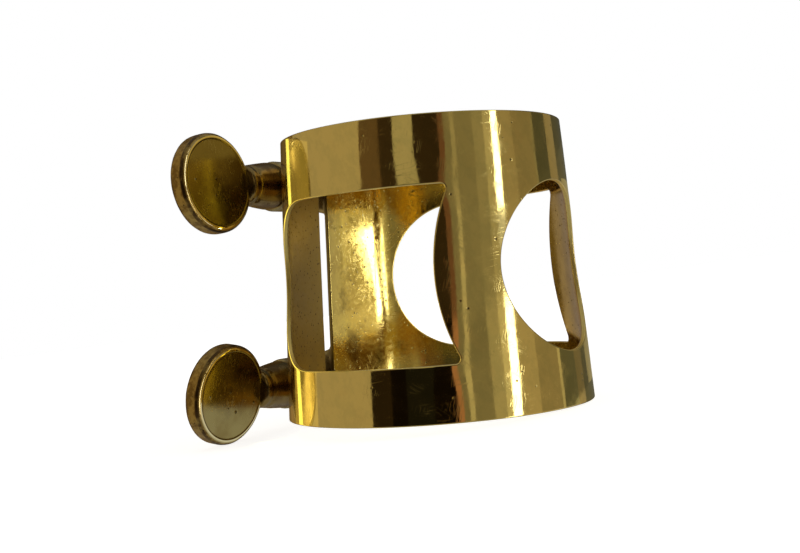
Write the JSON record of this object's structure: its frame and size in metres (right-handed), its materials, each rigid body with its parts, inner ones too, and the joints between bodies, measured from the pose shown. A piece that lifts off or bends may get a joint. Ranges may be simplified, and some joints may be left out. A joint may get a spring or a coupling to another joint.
{
  "type": "saxophone ligature",
  "caption": "Sprung sheet-brass ligature with cut-out windows and a screw-closed split, which clamps a reed to a saxophone mouthpiece.",
  "frame": {"origin": "centre of the wide rim, in the rim's plane", "axes": "+Z along the tube towards the narrow rim; +Y towards the round window, with the split at -Y; +X towards the thumb heads, along both screws"},
  "size_m": [0.0286, 0.0296, 0.0262],
  "materials": {
    "band_brass": "polished and lacquered, with fine scratches, small pits and worn edges",
    "lug_brass": "soldered, tarnished in the corners",
    "screw_brass": "turned, tarnished in the thread",
    "head_brass": "lacquer worn through, pitted round the rim"
  },
  "bodies": {
    "right_side": {"band_right_half": "band_brass", "upper_plain_lug": "lug_brass", "lower_plain_lug": "lug_brass"},
    "left_side": {"band_left_half": "band_brass", "upper_threaded_lug": "lug_brass", "lower_threaded_lug": "lug_brass"},
    "upper_screw": {"upper_screw_shank": "screw_brass", "upper_thumb_head": "head_brass"},
    "lower_screw": {"lower_screw_shank": "screw_brass", "lower_thumb_head": "head_brass"}
  },
  "joints": [
    {"name": "upper_screw_turn", "type": "hinge", "parent": "right_side", "child": "upper_screw", "pos_m": [0, -0.01377, 0.02035], "axis": [-1, 0, 0], "range_deg": [-792, 936]},
    {"name": "lower_screw_turn", "type": "hinge", "parent": "right_side", "child": "lower_screw", "pos_m": [0, -0.01439, 0.00265], "axis": [-1, 0, 0], "range_deg": [-792, 936]},
    {"name": "band_flex", "type": "hinge", "parent": "right_side", "child": "left_side", "pos_m": [0, 0.01225, 0], "axis": [0, 0, 1], "range_deg": [-2.4, 2.84]}
  ],
  "couplings": [
    {"joint": "lower_screw_turn", "follows": "upper_screw_turn", "ratio": 1},
    {"joint": "band_flex", "follows": "upper_screw_turn", "ratio": 0.003022}
  ]
}
